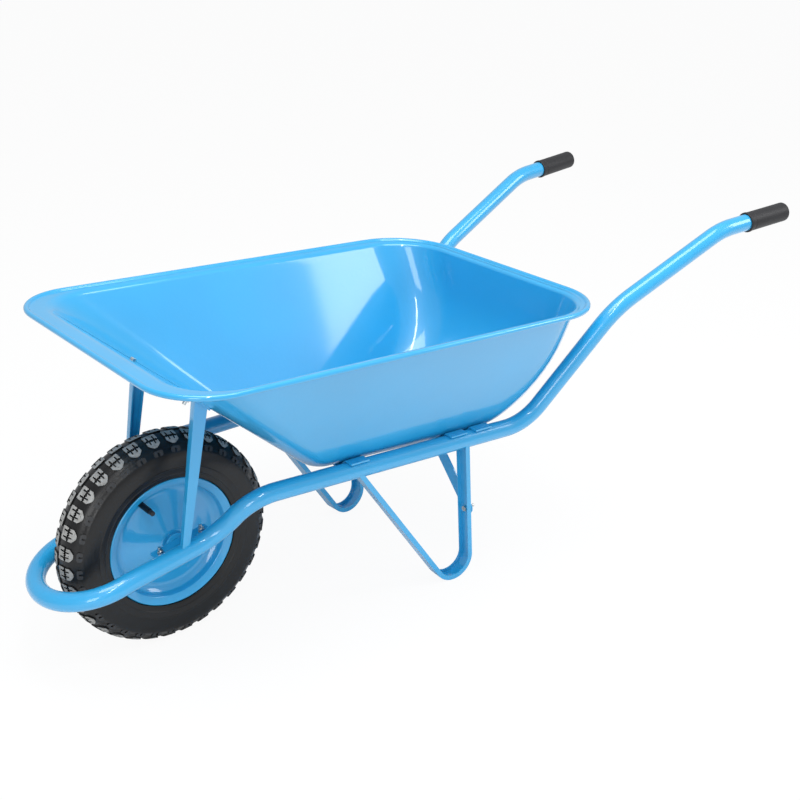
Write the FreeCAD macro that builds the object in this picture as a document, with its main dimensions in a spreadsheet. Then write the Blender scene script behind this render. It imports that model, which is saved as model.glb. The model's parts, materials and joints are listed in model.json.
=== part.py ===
"""A one-wheel builder's wheelbarrow, as a parametric document.

X runs forward to the wheel, Y to the barrow's left and Z up. Stations along X are
measured from the axle and heights from the ground. The origin lies on the ground under
the middle of the overall length.
"""
import FreeCAD, Part
import math
import os
import Sketcher

Vector = FreeCAD.Vector
doc = FreeCAD.newDocument("wheelbarrow")

# ---------------------------------------------------------------- driving dimensions
SIZES = {
    # wheel and axle
    "tyre_radius": 190, "tyre_half_width": 42, "tyre_wall": 6, "tyre_shoulder": 30,
    "rim_lip_radius": 116.4, "rim_lip_y": 36.3, "rim_seat_radius": 104, "rim_well_radius": 92,
    "rim_well_half": 9, "disc_sheet": 1.5, "dish_radius": 68, "dish_y": 17, "cone_radius": 26,
    "tube_gap": 0.5, "inner_tube_wall": 2,
    "hub_radius": 20, "hub_half_length": 44, "hub_fit": 0.02, "hub_lip": 1.5,
    "bearing_radius": 17.5, "bearing_width": 11, "race_wall": 3, "groove_radius": 3.3,
    "ball_radius": 3, "ball_count": 8,
    "axle_radius": 7.5, "axle_half_length": 77, "axle_fit": 0.03,
    "spacer_radius": 10, "spacer_gap": 0.3,
    "valve_radius": 5.2, "valve_station": 91, "valve_start": 6, "valve_end": 52,
    "valve_angle": 60, "valve_cap_radius": 4.2, "valve_cap_length": 8, "valve_gap": 0.3,
    # frame tube
    "tube_diameter": 32, "tube_wall": 1.5,
    "nose_station": 130, "nose_half_width": 95.3, "nose_height": 180, "nose_pitch": 11.9,
    "nose_run": 26, "nose_blend_radius": 300,
    "side_station": -49, "side_height": 213, "side_bend_radius": 92,
    "rail_front_station": -90.6, "rail_front_y": 141, "rail_front_height": 287,
    "rail_bend_radius": 74,
    "rail_rear_station": -665, "rail_rear_y": 179, "rail_rear_height": 273.5,
    "rail_rear_bend_radius": 85,
    "handle_low_station": -820, "handle_low_y": 244.5, "handle_low_height": 484,
    "handle_low_bend_radius": 160,
    "handle_high_station": -1066, "handle_high_y": 277, "handle_high_height": 597,
    "handle_high_bend_radius": 150,
    "handle_end_station": -1232, "handle_end_y": 291, "handle_end_height": 608,
    # grips
    "grip_wall": 2.4, "grip_length": 106, "grip_end_wall": 5, "grip_fit": 0.05,
    "grip_edge_radius": 5, "grip_lip_wall": 3.4, "grip_lip_length": 5,
    # tray
    "tray_sheet": 1, "tray_depth": 251, "tray_pitch": 2.7, "tray_base_height": 286,
    "tray_base_front": -230, "tray_base_rear": -747, "tray_base_front_half_width": 131,
    "tray_base_rear_half_width": 155,
    "tray_mouth_front": 89, "tray_mouth_rear": -742, "tray_mouth_half_width": 272,
    "tray_front_round": 50, "tray_side_round": 45, "tray_rear_round": 175,
    "tray_base_front_corner": 30, "tray_base_rear_corner": 60,
    "tray_mouth_front_corner": 92, "tray_mouth_rear_corner": 105,
    "rim_front": 127, "rim_rear": -764, "rim_half_width": 296, "rim_front_corner": 106,
    "rim_rear_corner": 127,
    "bead_radius": 4.8,
    # cross bars under the tray
    "bar_width": 38, "bar_sheet": 3, "bar_gap": 0.2, "bar_foot": 13,
    "bar_front_station": -292, "bar_middle_station": -503,
    "bar_shoulder": 28, "bar_rest": 6,
    # front struts
    "strut_foot_station": 17, "strut_foot_y": 104, "strut_foot_height": 196,
    "strut_top_station": -33, "strut_top_y": 107, "strut_top_height": 478,
    "strut_foot_width": 13, "strut_top_width": 25, "strut_foot_depth": 8, "strut_top_depth": 13,
    "strut_sheet": 2.5, "ear_length": 52, "ear_width": 26, "ear_sheet": 3, "ear_gap": 0.3,
    "ear_bolt": 40, "ear_rise": 60,
    # legs
    "foot_station": -497, "foot_radius": 42, "leg_width": 29, "leg_depth": 9,
    "leg_sheet": 2.2, "leg_rear_lean": 3.2, "leg_front_angle": 56,
    # leg braces
    "brace_width": 25, "brace_sheet": 3, "brace_bolt_height": 134, "brace_top_y": 45,
    "brace_gap": 0.2, "brace_round": 12,
    # axle brackets and clamps
    "bracket_length": 104, "bracket_width": 30, "bracket_sheet": 4, "bracket_height": 13,
    "bracket_pitch": 11.5, "bracket_y": 69, "clamp_bolt_reach": 39, "clamp_width": 18,
    "clamp_sheet": 3,
    # fasteners
    "bolt_radius": 3, "bolt_clearance": 0.3, "nut_flats": 10, "nut_height": 5,
    "head_height": 4, "washer_radius": 6, "washer_sheet": 1.2, "bolt_tip": 6,
    "seat_gap": 0.05, "tray_bolt_y": 92,
}
sheet = doc.addObject("Spreadsheet::Sheet", "Sizes")
for row, (alias, number) in enumerate(SIZES.items(), start=1):
    sheet.set("A%d" % row, alias.replace("_", " "))
    sheet.set("B%d" % row, str(number))
    sheet.setAlias("B%d" % row, alias)
doc.recompute()


def size(alias):
    """The sheet's value for one driving dimension."""
    return float(sheet.get(alias))


def value(expression):
    """The value of an expression on the sheet's cells."""
    return float(sheet.evalExpression(cells(expression)))


def cells(expression):
    """An expression with each alias written as a cell of the sheet."""
    terms = expression.replace("(", " ( ").replace(")", " ) ").split()
    return " ".join("Sizes." + term if term in SIZES else term for term in terms)


# ---------------------------------------------------------------- modelling helpers
nodes = {}


def piece(obj, label):
    """Takes an object as a sub-part under its own label."""
    obj.Label = label
    nodes[label] = obj
    return obj


def new_body(name):
    return doc.addObject("PartDesign::Body", name)


def origin_plane(body, role):
    return [f for f in body.Origin.OriginFeatures if f.Role == role][0]


def new_sketch(body, role, offset):
    sketch = body.newObject("Sketcher::SketchObject", body.Name + "_sketch")
    sketch.AttachmentSupport = (origin_plane(body, role), [""])
    sketch.MapMode = "FlatFace"
    if offset:
        sketch.setExpression(".AttachmentOffset.Base.z", cells(offset))
    return sketch


def outline(body, role, corners, offset=None):
    """A closed sketch of straight edges whose corners are bound to the sheet."""
    sketch = new_sketch(body, role, offset)
    points = [Vector(value(x), value(y), 0) for x, y in corners]
    count = len(points)
    for i in range(count):
        sketch.addGeometry(Part.LineSegment(points[i], points[(i + 1) % count]))
    for i in range(count):
        sketch.addConstraint(Sketcher.Constraint("Coincident", i, 2, (i + 1) % count, 1))
    for i, (x, y) in enumerate(corners):
        for kind, term, number in (("DistanceX", x, points[i].x), ("DistanceY", y, points[i].y)):
            index = sketch.addConstraint(Sketcher.Constraint(kind, -1, 1, i, 1, number))
            sketch.setExpression("Constraints[%d]" % index, cells(term))
    return sketch


def words(number):
    """A worked-out length, written for a sketch or an expression."""
    return "%.6f" % number


def circle(body, role, radius, centre=("0", "0"), offset=None):
    """A sketch of one circle whose centre and radius are bound to the sheet."""
    sketch = new_sketch(body, role, offset)
    middle = Vector(value(centre[0]), value(centre[1]), 0)
    sketch.addGeometry(Part.Circle(middle, Vector(0, 0, 1), value(radius)))
    index = sketch.addConstraint(Sketcher.Constraint("Radius", 0, value(radius)))
    sketch.setExpression("Constraints[%d]" % index, cells(radius))
    for kind, term, number in (("DistanceX", centre[0], middle.x), ("DistanceY", centre[1], middle.y)):
        index = sketch.addConstraint(Sketcher.Constraint(kind, -1, 1, 0, 3, number))
        sketch.setExpression("Constraints[%d]" % index, cells(term))
    return sketch


def pad(body, sketch, length, both_ways=False):
    feature = body.newObject("PartDesign::Pad", body.Name + "_pad")
    feature.Profile = sketch
    if both_ways:
        feature.SideType = "Symmetric"
    feature.setExpression("Length", cells(length))
    return feature


def round_edges(body, radius, picks):
    """Rounds the edges of the body whose middle and box the test accepts."""
    doc.recompute()
    base = body.Tip
    names = []
    for index, edge in enumerate(base.Shape.Edges, start=1):
        if picks(edge):
            names.append("Edge%d" % index)
    if not names:
        raise RuntimeError(body.Name + ": no edge to round")
    rounding = body.newObject("PartDesign::Fillet", body.Name + "_rounding")
    rounding.Base = (base, names)
    rounding.setExpression("Radius", cells(radius))
    body.Tip = rounding
    return rounding


def pocket_through(body, sketch):
    """Cuts a sketch right through the body, both ways."""
    doc.recompute()
    before = body.Shape.Volume
    feature = body.newObject("PartDesign::Pocket", body.Name + "_pocket")
    feature.Profile = sketch
    feature.Type = "ThroughAll"
    feature.Midplane = True
    doc.recompute()
    if body.Shape.Volume >= before:
        raise RuntimeError(body.Name + ": the pocket cuts nothing")
    return feature


def turned(name, profile):
    """A body turned about its own Y axis from (radius, station along Y) corners."""
    body = new_body(name)
    feature = body.newObject("PartDesign::Revolution", name + "_turn")
    feature.Profile = outline(body, "XY_Plane", profile)
    feature.ReferenceAxis = (feature.Profile[0], ["V_Axis"])
    feature.Angle = 360
    body.Tip = feature
    return body


def ring(name, inner, outer, start, end):
    """A turned ring of rectangular section."""
    return turned(name, [(inner, start), (outer, start), (outer, end), (inner, end)])


def mirrored(source, label):
    """The right-hand twin of a left-hand piece."""
    twin = doc.addObject("Part::Mirroring", label)
    twin.Source = source
    twin.Normal = Vector(0, 1, 0)
    return piece(twin, label)


def cut(label, base, tool):
    feature = doc.addObject("Part::Cut", label)
    feature.Base = base
    feature.Tool = tool
    return feature


def solid_feature(label, shape, placement=None):
    """A feature whose shape Part's own functions made."""
    feature = doc.addObject("Part::Feature", label)
    feature.Shape = shape
    if placement:
        feature.Placement = placement
    return feature


def group(label, shape, placements):
    """One node that holds equal pieces at several places."""
    copies = []
    for placement in placements:
        copy = shape.copy()
        copy.Placement = placement.multiply(copy.Placement)
        copies.append(copy)
    return piece(solid_feature(label, Part.makeCompound(copies)), label)


def facing(point, direction):
    """A placement at a point whose Z axis looks along a direction."""
    return FreeCAD.Placement(point, FreeCAD.Rotation(Vector(0, 0, 1), direction))


# ---------------------------------------------------------------- frame tube
def bent_route(points, radii):
    """Straight runs between points, joined by tangent arcs of the given radii."""
    edges = []
    start = points[0]
    for before, corner, after, radius in zip(points, points[1:], points[2:], radii):
        back = (before - corner).normalize()
        ahead = (after - corner).normalize()
        half = back.getAngle(ahead) / 2
        run = radius / math.tan(half)
        bisector = (back + ahead).normalize()
        middle = corner + bisector * (radius / math.sin(half) - radius)
        first = corner + back * run
        last = corner + ahead * run
        edges.append(Part.LineSegment(start, first).toShape())
        edges.append(Part.Arc(first, middle, last).toShape())
        start = last
    edges.append(Part.LineSegment(start, points[-1]).toShape())
    return edges


def flipped(edges):
    """The route on the other side of the barrow, run the other way."""
    mirror = FreeCAD.Matrix(1, 0, 0, 0, 0, -1, 0, 0, 0, 0, 1, 0)
    return [edge.transformGeometry(mirror) for edge in reversed(edges)]


def handle_slope():
    """The direction of the last run of the left handle."""
    run = [size("handle_end_" + word) - size("handle_high_" + word)
           for word in ("station", "y", "height")]
    return Vector(*run).normalize()


def axle_station():
    """The axle's place along X that puts the origin under the middle of the length."""
    nose_reach = size("nose_half_width") * math.cos(math.radians(size("nose_pitch")))
    front = size("nose_station") + nose_reach + size("tube_diameter") / 2
    edge = size("grip_edge_radius")
    slope = handle_slope()
    past_tube = slope.x * (size("grip_end_wall") - edge)
    overhang = ((size("tube_diameter") / 2 + size("grip_wall")) - edge) * math.sqrt(1 - slope.x ** 2) + edge
    rear = size("handle_end_station") + past_tube - overhang
    return -(front + rear) / 2


def along(name):
    """A named station, measured in the part's own frame."""
    return axle_x + size(name + "_station")


def station(name):
    """A named corner of the frame tube's centre line, on the left."""
    return Vector(along(name), size(name + "_y"), size(name + "_height"))


axle_x = axle_station()
axle = Vector(axle_x, 0, size("tyre_radius"))
pitch = math.radians(size("nose_pitch"))
nose_dir = Vector(math.cos(pitch), 0, -math.sin(pitch))
nose_centre = Vector(along("nose"), 0, size("nose_height"))
nose_left = nose_centre + Vector(0, size("nose_half_width"), 0)
nose_right = nose_centre - Vector(0, size("nose_half_width"), 0)
nose_tip = nose_centre + nose_dir * size("nose_half_width")
side_corner = Vector(along("side"), size("nose_half_width"), size("side_height"))
left_points = [
    nose_left, nose_left - nose_dir * size("nose_run"), side_corner,
    station("rail_front"), station("rail_rear"), station("handle_low"),
    station("handle_high"), station("handle_end"),
]
left_radii = [size(name + "_radius") for name in (
    "nose_blend", "side_bend", "rail_bend", "rail_rear_bend", "handle_low_bend",
    "handle_high_bend")]
left_edges = bent_route(left_points, left_radii)
nose_arc = Part.Arc(nose_right, nose_tip, nose_left).toShape()
route = Part.Wire(Part.__sortEdges__(left_edges + [nose_arc] + flipped(left_edges)))
handle_end = station("handle_end")
handle_dir = handle_slope()


def rod_along(wire, radius):
    """A solid rod along a route that starts and ends on the handles."""
    profile = Part.Wire(Part.makeCircle(radius, handle_end, handle_dir))
    return wire.makePipeShell([profile], True, False)


def rail_at(x):
    """The centre of the left rail, the tube's straight run under the tray."""
    front, rear = station("rail_front"), station("rail_rear")
    share = (x - front.x) / (rear.x - front.x)
    return front + (rear - front) * share


tube_radius = size("tube_diameter") / 2
tube_rod = solid_feature("tube_rod", rod_along(route, tube_radius))
tube_bore = solid_feature("tube_bore", rod_along(route, tube_radius - size("tube_wall")))
frame_tube = piece(cut("frame_tube", tube_rod, tube_bore), "frame_tube")

# ---------------------------------------------------------------- grips
grip = turned("grip_left", [
    ("tube_diameter / 2 + grip_fit", "0"),
    ("tube_diameter / 2 + grip_lip_wall", "0"),
    ("tube_diameter / 2 + grip_lip_wall", "grip_lip_length"),
    ("tube_diameter / 2 + grip_wall", "grip_lip_length"),
    ("tube_diameter / 2 + grip_wall", "grip_length"),
    ("0", "grip_length"),
    ("0", "grip_length - grip_end_wall"),
    ("tube_diameter / 2 + grip_fit", "grip_length - grip_end_wall"),
])
round_edges(grip, "grip_edge_radius",
            lambda edge: edge.BoundBox.YMin > size("grip_length") - 0.1
            and edge.BoundBox.XMax > (size("tube_diameter") / 2 + size("grip_wall")) - 0.1)
grip_start = handle_end - handle_dir * (size("grip_length") - size("grip_end_wall"))
grip.Placement = FreeCAD.Placement(grip_start, FreeCAD.Rotation(Vector(0, 1, 0), handle_dir))
piece(grip, "grip_left")
mirrored(grip, "grip_right")


# ---------------------------------------------------------------- tray
def rounded_reach(height, slope, radius):
    """How far a leaning wall stands out from its sharp foot, its foot rounded."""
    lean = math.sqrt(1 + slope * slope)
    centre = radius * (slope - lean)
    if height >= radius * (1 - slope / lean):
        return slope * height
    return centre + math.sqrt(radius ** 2 - (radius - height) ** 2)


def tray_outline(height, inset, lift):
    """The tray's plan at one height above its base, as a rounded trapezium."""
    depth = size("tray_depth")
    share = height / depth
    base_front, base_rear = size("tray_base_front"), size("tray_base_rear")
    mouth_half = size("tray_mouth_half_width")
    front_half, rear_half = size("tray_base_front_half_width"), size("tray_base_rear_half_width")
    front = base_front + rounded_reach(
        height, (size("tray_mouth_front") - base_front) / depth, size("tray_front_round"))
    rear = base_rear - rounded_reach(
        height, (base_rear - size("tray_mouth_rear")) / depth, size("tray_rear_round"))
    side = size("tray_side_round")
    front_y = front_half + rounded_reach(height, (mouth_half - front_half) / depth, side) - inset
    rear_y = rear_half + rounded_reach(height, (mouth_half - rear_half) / depth, side) - inset
    corners = [Vector(front - inset, front_y), Vector(rear + inset, rear_y),
               Vector(rear + inset, -rear_y), Vector(front - inset, -front_y)]
    front_round = size("tray_base_front_corner") * (1 - share) + size("tray_mouth_front_corner") * share
    rear_round = size("tray_base_rear_corner") * (1 - share) + size("tray_mouth_rear_corner") * share
    rounds = [front_round - inset, rear_round - inset, rear_round - inset, front_round - inset]
    return rounded_loop(corners, rounds, height + lift)


def rounded_loop(corners, rounds, height):
    """A closed wire through corners in plan, each rounded, at a height."""
    ends = []
    for i, (corner, radius) in enumerate(zip(corners, rounds)):
        back = (corners[i - 1] - corner).normalize()
        ahead = (corners[(i + 1) % len(corners)] - corner).normalize()
        half = back.getAngle(ahead) / 2
        run = radius / math.tan(half)
        middle = corner + (back + ahead).normalize() * (radius / math.sin(half) - radius)
        up = Vector(0, 0, height)
        ends.append((corner + back * run + up, middle + up, corner + ahead * run + up))
    edges = []
    for i, (first, middle, last) in enumerate(ends):
        edges.append(Part.Arc(first, middle, last).toShape())
        edges.append(Part.LineSegment(last, ends[(i + 1) % len(ends)][0]).toShape())
    return Part.Wire(edges)


def tray_shape():
    """The pressing: lofted walls, a flat flange and the rolled bead round it."""
    depth, wall = size("tray_depth"), size("tray_sheet")
    steps = [0, 0.004, 0.02, 0.05, 0.1, 0.17, 0.26, 0.38, 0.52, 0.68, 0.84, 1]
    outer = Part.makeLoft([tray_outline(depth * k, 0, 0) for k in steps], True, False)
    inner = Part.makeLoft([tray_outline(depth * k, wall, wall) for k in steps], True, False)
    shell = outer.cut(inner)
    front, rear, half = size("rim_front"), size("rim_rear"), size("rim_half_width")
    bead = size("bead_radius")
    rounds = [size("rim_%s_corner" % end) - bead for end in ("front", "rear", "rear", "front")]
    corners = [Vector(front - bead, half - bead), Vector(rear + bead, half - bead),
               Vector(rear + bead, bead - half), Vector(front - bead, bead - half)]
    bead_line = rounded_loop(corners, rounds, depth - wall / 2)
    flange_edge = rounded_loop(corners, rounds, depth - wall)
    mouth = tray_outline(depth, wall, -wall)
    flange = Part.Face([flange_edge, mouth]).extrude(Vector(0, 0, wall))
    straight = bead_line.Edges[1]
    start = straight.valueAt(straight.FirstParameter)
    section = Part.Wire(Part.makeCircle(bead, start, straight.tangentAt(straight.FirstParameter)))
    turned_route = Part.Wire(bead_line.Edges[1:] + bead_line.Edges[:1])
    rolled = turned_route.makePipeShell([section], True, False)
    return shell.fuse(flange).fuse(rolled).removeSplitter().Solids[0]


def tray_placement():
    """The tray pitches up towards the front, about the front end of its base."""
    tilt = FreeCAD.Rotation(Vector(0, 1, 0), -size("tray_pitch"))
    pivot = Vector(size("tray_base_front"), 0, 0)
    lift = Vector(axle_x, 0, size("tray_base_height"))
    return FreeCAD.Placement(pivot + lift - tilt.multVec(pivot), tilt)


def tray_base_at(x):
    """The height of the tray's underside at a station."""
    pitch = math.radians(size("tray_pitch"))
    return size("tray_base_height") + math.tan(pitch) * (x - axle_x - size("tray_base_front"))


def on_tray(reach, y):
    """A point on the tray's underside, at a distance along its base from the axle."""
    return tray_placement().multVec(Vector(reach, y, 0))


tray_up = tray_placement().Rotation.multVec(Vector(0, 0, 1))
tray_whole = solid_feature("tray_whole", tray_shape(), tray_placement())

# ---------------------------------------------------------------- legs
lean = math.radians(size("leg_rear_lean"))
rise = math.radians(size("leg_front_angle"))
foot = rail_at(along("foot"))
rail_run = (station("rail_front") - station("rail_rear")).normalize()
leg_turn = math.degrees(math.atan2(rail_run.y, rail_run.x))


def strap_line(inset):
    """Rear top, foot corner and front top of the strap at an inset from its outer face."""
    reach = size("foot_radius") - value(inset)
    rear_x = -reach / math.cos(lean)
    front_x = reach / math.sin(rise)
    rear_slope = math.tan(lean)
    front_slope = 1 / math.tan(rise)
    # the two leaning faces meet below the foot's centre
    drop = (front_x - rear_x) / (front_slope - rear_slope)
    climb = foot.z - size("foot_radius")
    return [(rear_x + rear_slope * climb, foot.z),
            (front_x - front_slope * drop, size("foot_radius") - drop),
            (front_x + front_slope * climb, foot.z)]


def strap_band(name, outer_inset, inner_inset, width):
    """A V of flat strap with a round foot, between two insets from its outer face."""
    body = new_body(name)
    outer, inner = strap_line(outer_inset), strap_line(inner_inset)
    corners = [(words(x), words(z)) for x, z in outer + inner[::-1]]
    body.Tip = pad(body, outline(body, "XZ_Plane", corners), width, both_ways=True)
    for line, inset in ((outer, outer_inset), (inner, inner_inset)):
        corner = Vector(line[1][0], 0, line[1][1])
        round_edges(body, "foot_radius - ( %s )" % inset,
                    lambda edge: edge.CenterOfMass.distanceToPoint(corner) < 0.01)
    body.Placement = FreeCAD.Placement(
        Vector(foot.x, foot.y, 0), FreeCAD.Rotation(Vector(0, 0, 1), leg_turn))
    return body


def leg():
    """A channel strap bent to a V, its flanges inwards, welded under the rail."""
    strap = strap_band("leg_strap", "0", "leg_depth", "leg_width")
    channel = strap_band("leg_channel", "leg_sheet", "leg_depth + 3", "leg_width - 2 * leg_sheet")
    return cut("leg_on_rail", cut("leg_open", strap, channel), tube_rod)


left_leg = leg()
# a leg's rear strut leans, and its web is met by the brace at the bolt's height
web_climb = size("brace_bolt_height") - size("foot_radius")
web_reach = size("foot_radius") / math.cos(lean) - math.tan(lean) * web_climb
leg_axis = Vector(math.cos(math.radians(leg_turn)), math.sin(math.radians(leg_turn)), 0)
brace_bolt = foot - leg_axis * web_reach
brace_bolt.z = size("brace_bolt_height")
off_square = math.tan(lean) + math.tan(math.radians(abs(leg_turn)))
brace_front = brace_bolt.x - size("brace_gap") - size("brace_width") / 2 * off_square

# ---------------------------------------------------------------- cross bars
def cross_bar(label, x, bolted):
    """A joggled strip: its ends lie on the rails and its middle carries the tray."""
    rail = rail_at(x)
    body = new_body(label)
    low = tray_base_at(x) - size("bar_gap")
    drop = words(rail.z + tube_radius - low) + " + bar_sheet"
    inner = words(rail.y) + " - bar_shoulder"
    outer = words(rail.y) + " - bar_rest"
    end = words(rail.y) + " + bar_foot"
    half = [(inner, "0"), (outer, drop), (end, drop), (end, drop + " - bar_sheet"),
            (outer, drop + " - bar_sheet"), (inner, "0 - bar_sheet")]
    other = [("0 - ( %s )" % y, z) for y, z in reversed(half)]
    sketch = outline(body, "YZ_Plane", half + other)
    body.Tip = pad(body, sketch, "bar_width", both_ways=True)
    if bolted:
        for y in ("tray_bolt_y", "0 - tray_bolt_y"):
            pocket_through(body, circle(body, "XY_Plane", "bolt_radius + bolt_clearance", ("0", y)))
    tilt = FreeCAD.Rotation(Vector(0, 1, 0), -size("tray_pitch"))
    body.Placement = FreeCAD.Placement(Vector(x, 0, low), tilt)
    return piece(cut(label + "_on_rails", body, tube_rod), label)


bar_rear_x = brace_front - size("brace_sheet") - size("bar_width") / 2
bar_rear_x -= size("bar_sheet") * math.sin(math.radians(size("tray_pitch")))
cross_bar("cross_bar_front", along("bar_front"), True)
cross_bar("cross_bar_middle", along("bar_middle"), False)
cross_bar("cross_bar_rear", bar_rear_x, True)


# ---------------------------------------------------------------- bolts, nuts and washers
def fastener_shapes(grip_length):
    """A hexagon bolt, its nut and its washer for a stack of a given thickness."""
    flats, radius = size("nut_flats"), size("bolt_radius")
    corner = flats / math.sqrt(3)
    hexagon = [Vector(corner * math.cos(math.radians(60 * k)), corner * math.sin(math.radians(60 * k)))
               for k in range(6)]
    face = Part.Face(Part.makePolygon(hexagon + hexagon[:1]))
    washer_end = grip_length + size("washer_sheet")
    nut_end = washer_end + size("nut_height")
    gap = size("seat_gap")
    head = face.extrude(Vector(0, 0, size("head_height")))
    head.translate(Vector(0, 0, -size("head_height") - gap))
    shank = Part.makeCylinder(radius, nut_end + size("bolt_tip") + gap, Vector(0, 0, -gap))
    nut = face.extrude(Vector(0, 0, size("nut_height") - gap))
    nut = nut.cut(Part.makeCylinder(radius + gap, 3 * size("nut_height"), Vector(0, 0, -1)))
    nut.translate(Vector(0, 0, washer_end + gap))
    washer = Part.makeCylinder(size("washer_radius"), size("washer_sheet"))
    washer = washer.cut(Part.makeCylinder(radius + gap, 3 * size("washer_sheet"), Vector(0, 0, -1)))
    washer.translate(Vector(0, 0, grip_length + gap / 2))
    return head.fuse(shank).removeSplitter(), nut, washer


def fasten(name, grip_length, placements):
    """Groups of equal bolts, nuts and washers that hold one joint."""
    for kind, shape in zip(("bolts", "nuts", "washers"), fastener_shapes(grip_length)):
        group(name + "_" + kind, shape, placements)


def both_sides(point, direction):
    """Placements for a fastener on the left and its twin on the right."""
    twin = Vector(point.x, -point.y, point.z), Vector(direction.x, -direction.y, direction.z)
    return [facing(point, direction), facing(*twin)]


floor_stack = size("tray_sheet") + size("bar_gap") + size("bar_sheet")
floor_bolts = []
for x in (along("bar_front"), bar_rear_x):
    reach = (x - axle_x - size("tray_base_front")) / math.cos(math.radians(size("tray_pitch")))
    point = on_tray(size("tray_base_front") + reach, size("tray_bolt_y"))
    floor_bolts += both_sides(point + tray_up * size("tray_sheet"), -tray_up)
fasten("tray", floor_stack, floor_bolts)

# ---------------------------------------------------------------- front struts
slope_foot = on_tray(size("tray_base_front"), 0)
slope_top = tray_placement().multVec(Vector(size("tray_mouth_front"), 0, size("tray_depth")))
slope_dir = (slope_top - slope_foot).normalize()
slope_up = Vector(-slope_dir.z, 0, slope_dir.x)
slope_sheet = size("tray_sheet") * sum(abs(part) for part in (
    tray_placement().Rotation.inverted().multVec(slope_up)))


def on_slope(x, depth):
    """A point under the tray's front slope at a station, at a depth below its skin."""
    climb = (x - slope_foot.x) / slope_dir.x
    return slope_foot + slope_dir * climb - slope_up * depth


def strut_section(end):
    """The corners of the channel section at one end, its web outboard."""
    x, y = "strut_%s_station" % end, "strut_%s_y" % end
    half, deep = "strut_%s_width / 2" % end, "strut_%s_depth" % end
    return [(x + " - " + half, y), (x + " + " + half, y),
            (x + " + " + half, y + " - " + deep),
            (x + " + " + half + " - strut_sheet", y + " - " + deep),
            (x + " + " + half + " - strut_sheet", y + " - strut_sheet"),
            (x + " - " + half + " + strut_sheet", y + " - strut_sheet"),
            (x + " - " + half + " + strut_sheet", y + " - " + deep),
            (x + " - " + half, y + " - " + deep)]


ear_start = axle_x + size("strut_top_station") - size("strut_top_width") / 2
ear_bolt = on_slope(ear_start, 0) + slope_dir * size("ear_bolt")
ear_bolt.y = size("strut_top_y") - size("ear_width") / 2


def front_strut():
    """A tapered channel on the rail with an ear that is bolted under the tray's slope."""
    body = new_body("strut_left")
    loft = body.newObject("PartDesign::AdditiveLoft", "strut_channel")
    loft.Profile = outline(body, "XY_Plane", strut_section("foot"), "strut_foot_height")
    loft.Sections = [outline(body, "XY_Plane", strut_section("top"), "strut_top_height")]
    body.Tip = loft
    body.Placement = FreeCAD.Placement(Vector(axle_x, 0, 0), FreeCAD.Rotation())
    gap, sheet_end = size("ear_gap"), size("ear_gap") + size("ear_sheet")
    ahead = ear_start + size("ear_length") * slope_dir.x
    low, high = on_slope(ear_start - size("ear_rise"), gap), on_slope(ahead, gap)
    above = [low, high, high + Vector(0, 0, size("ear_rise")), low + Vector(0, 0, size("ear_rise"))]
    pocket_through(body, outline(body, "XZ_Plane", plain(above)))
    ear = [on_slope(ear_start, gap), on_slope(ahead, gap),
           on_slope(ahead, sheet_end), on_slope(ear_start, sheet_end)]
    sketch = outline(body, "XZ_Plane", plain(ear), "0 - ( strut_top_y - ear_width / 2 )")
    body.Tip = pad(body, sketch, "ear_width", both_ways=True)
    hole = solid_feature("ear_hole", Part.makeCylinder(
        size("bolt_radius") + size("bolt_clearance"), 40, ear_bolt + slope_up * 20, -slope_up))
    return piece(cut("strut_on_rail", cut("strut_bored", body, hole), tube_rod), "front_strut_left")


def plain(points):
    """Sketch corners from points, measured from the axle's station."""
    return [(words(point.x - axle_x), words(point.z)) for point in points]


left_strut = front_strut()
mirrored(left_strut, "front_strut_right")
strut_stack = slope_sheet + size("ear_gap") + size("ear_sheet")
strut_bolts = both_sides(ear_bolt + slope_up * slope_sheet, -slope_up)
fasten("strut", strut_stack, strut_bolts)

# the tray, bored for the bolts of its floor and of the struts
borings = []
for placement in floor_bolts + strut_bolts:
    boring = Part.makeCylinder(size("bolt_radius") + size("bolt_clearance"), 20, Vector(0, 0, -10))
    boring.Placement = placement
    borings.append(boring)
tray_holes = solid_feature("tray_holes", Part.makeCompound(borings))
piece(cut("tray_bored", tray_whole, tray_holes), "tray")

# ---------------------------------------------------------------- leg braces
brace_top = Vector(0, size("brace_top_y"), tray_base_at(bar_rear_x) - size("bar_gap"))
brace_run = Vector(0, brace_top.y - brace_bolt.y, brace_top.z - brace_bolt.z).normalize()
brace_side = Vector(0, -brace_run.z, brace_run.y)


def leg_brace():
    """A flat strap, round at the leg and cut level where it is welded to the cross bar."""
    body = new_body("brace_left")
    half = size("brace_width") / 2
    end = brace_bolt - brace_run * size("brace_round")
    corners = []
    for sign in (-1, 1):
        edge = end + brace_side * half * sign
        climb = (brace_top.z - edge.z) / brace_run.z
        corners.append((edge, edge + brace_run * climb))
    line = [corners[0][0], corners[0][1], corners[1][1], corners[1][0]]
    sketch = outline(body, "YZ_Plane", [(words(p.y), words(p.z)) for p in line])
    body.Tip = pad(body, sketch, "brace_sheet")
    round_edges(body, "brace_round", lambda edge: edge.BoundBox.XLength > size("brace_sheet") / 2
                and abs((edge.CenterOfMass - Vector(0, end.y, end.z)).dot(brace_run)) < 0.01)
    pocket_through(body, circle(body, "YZ_Plane", "bolt_radius + bolt_clearance",
                                (words(brace_bolt.y), words(brace_bolt.z))))
    body.Placement = FreeCAD.Placement(
        Vector(brace_front - size("brace_sheet"), 0, 0), FreeCAD.Rotation())
    return piece(body, "leg_brace_left")


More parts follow.
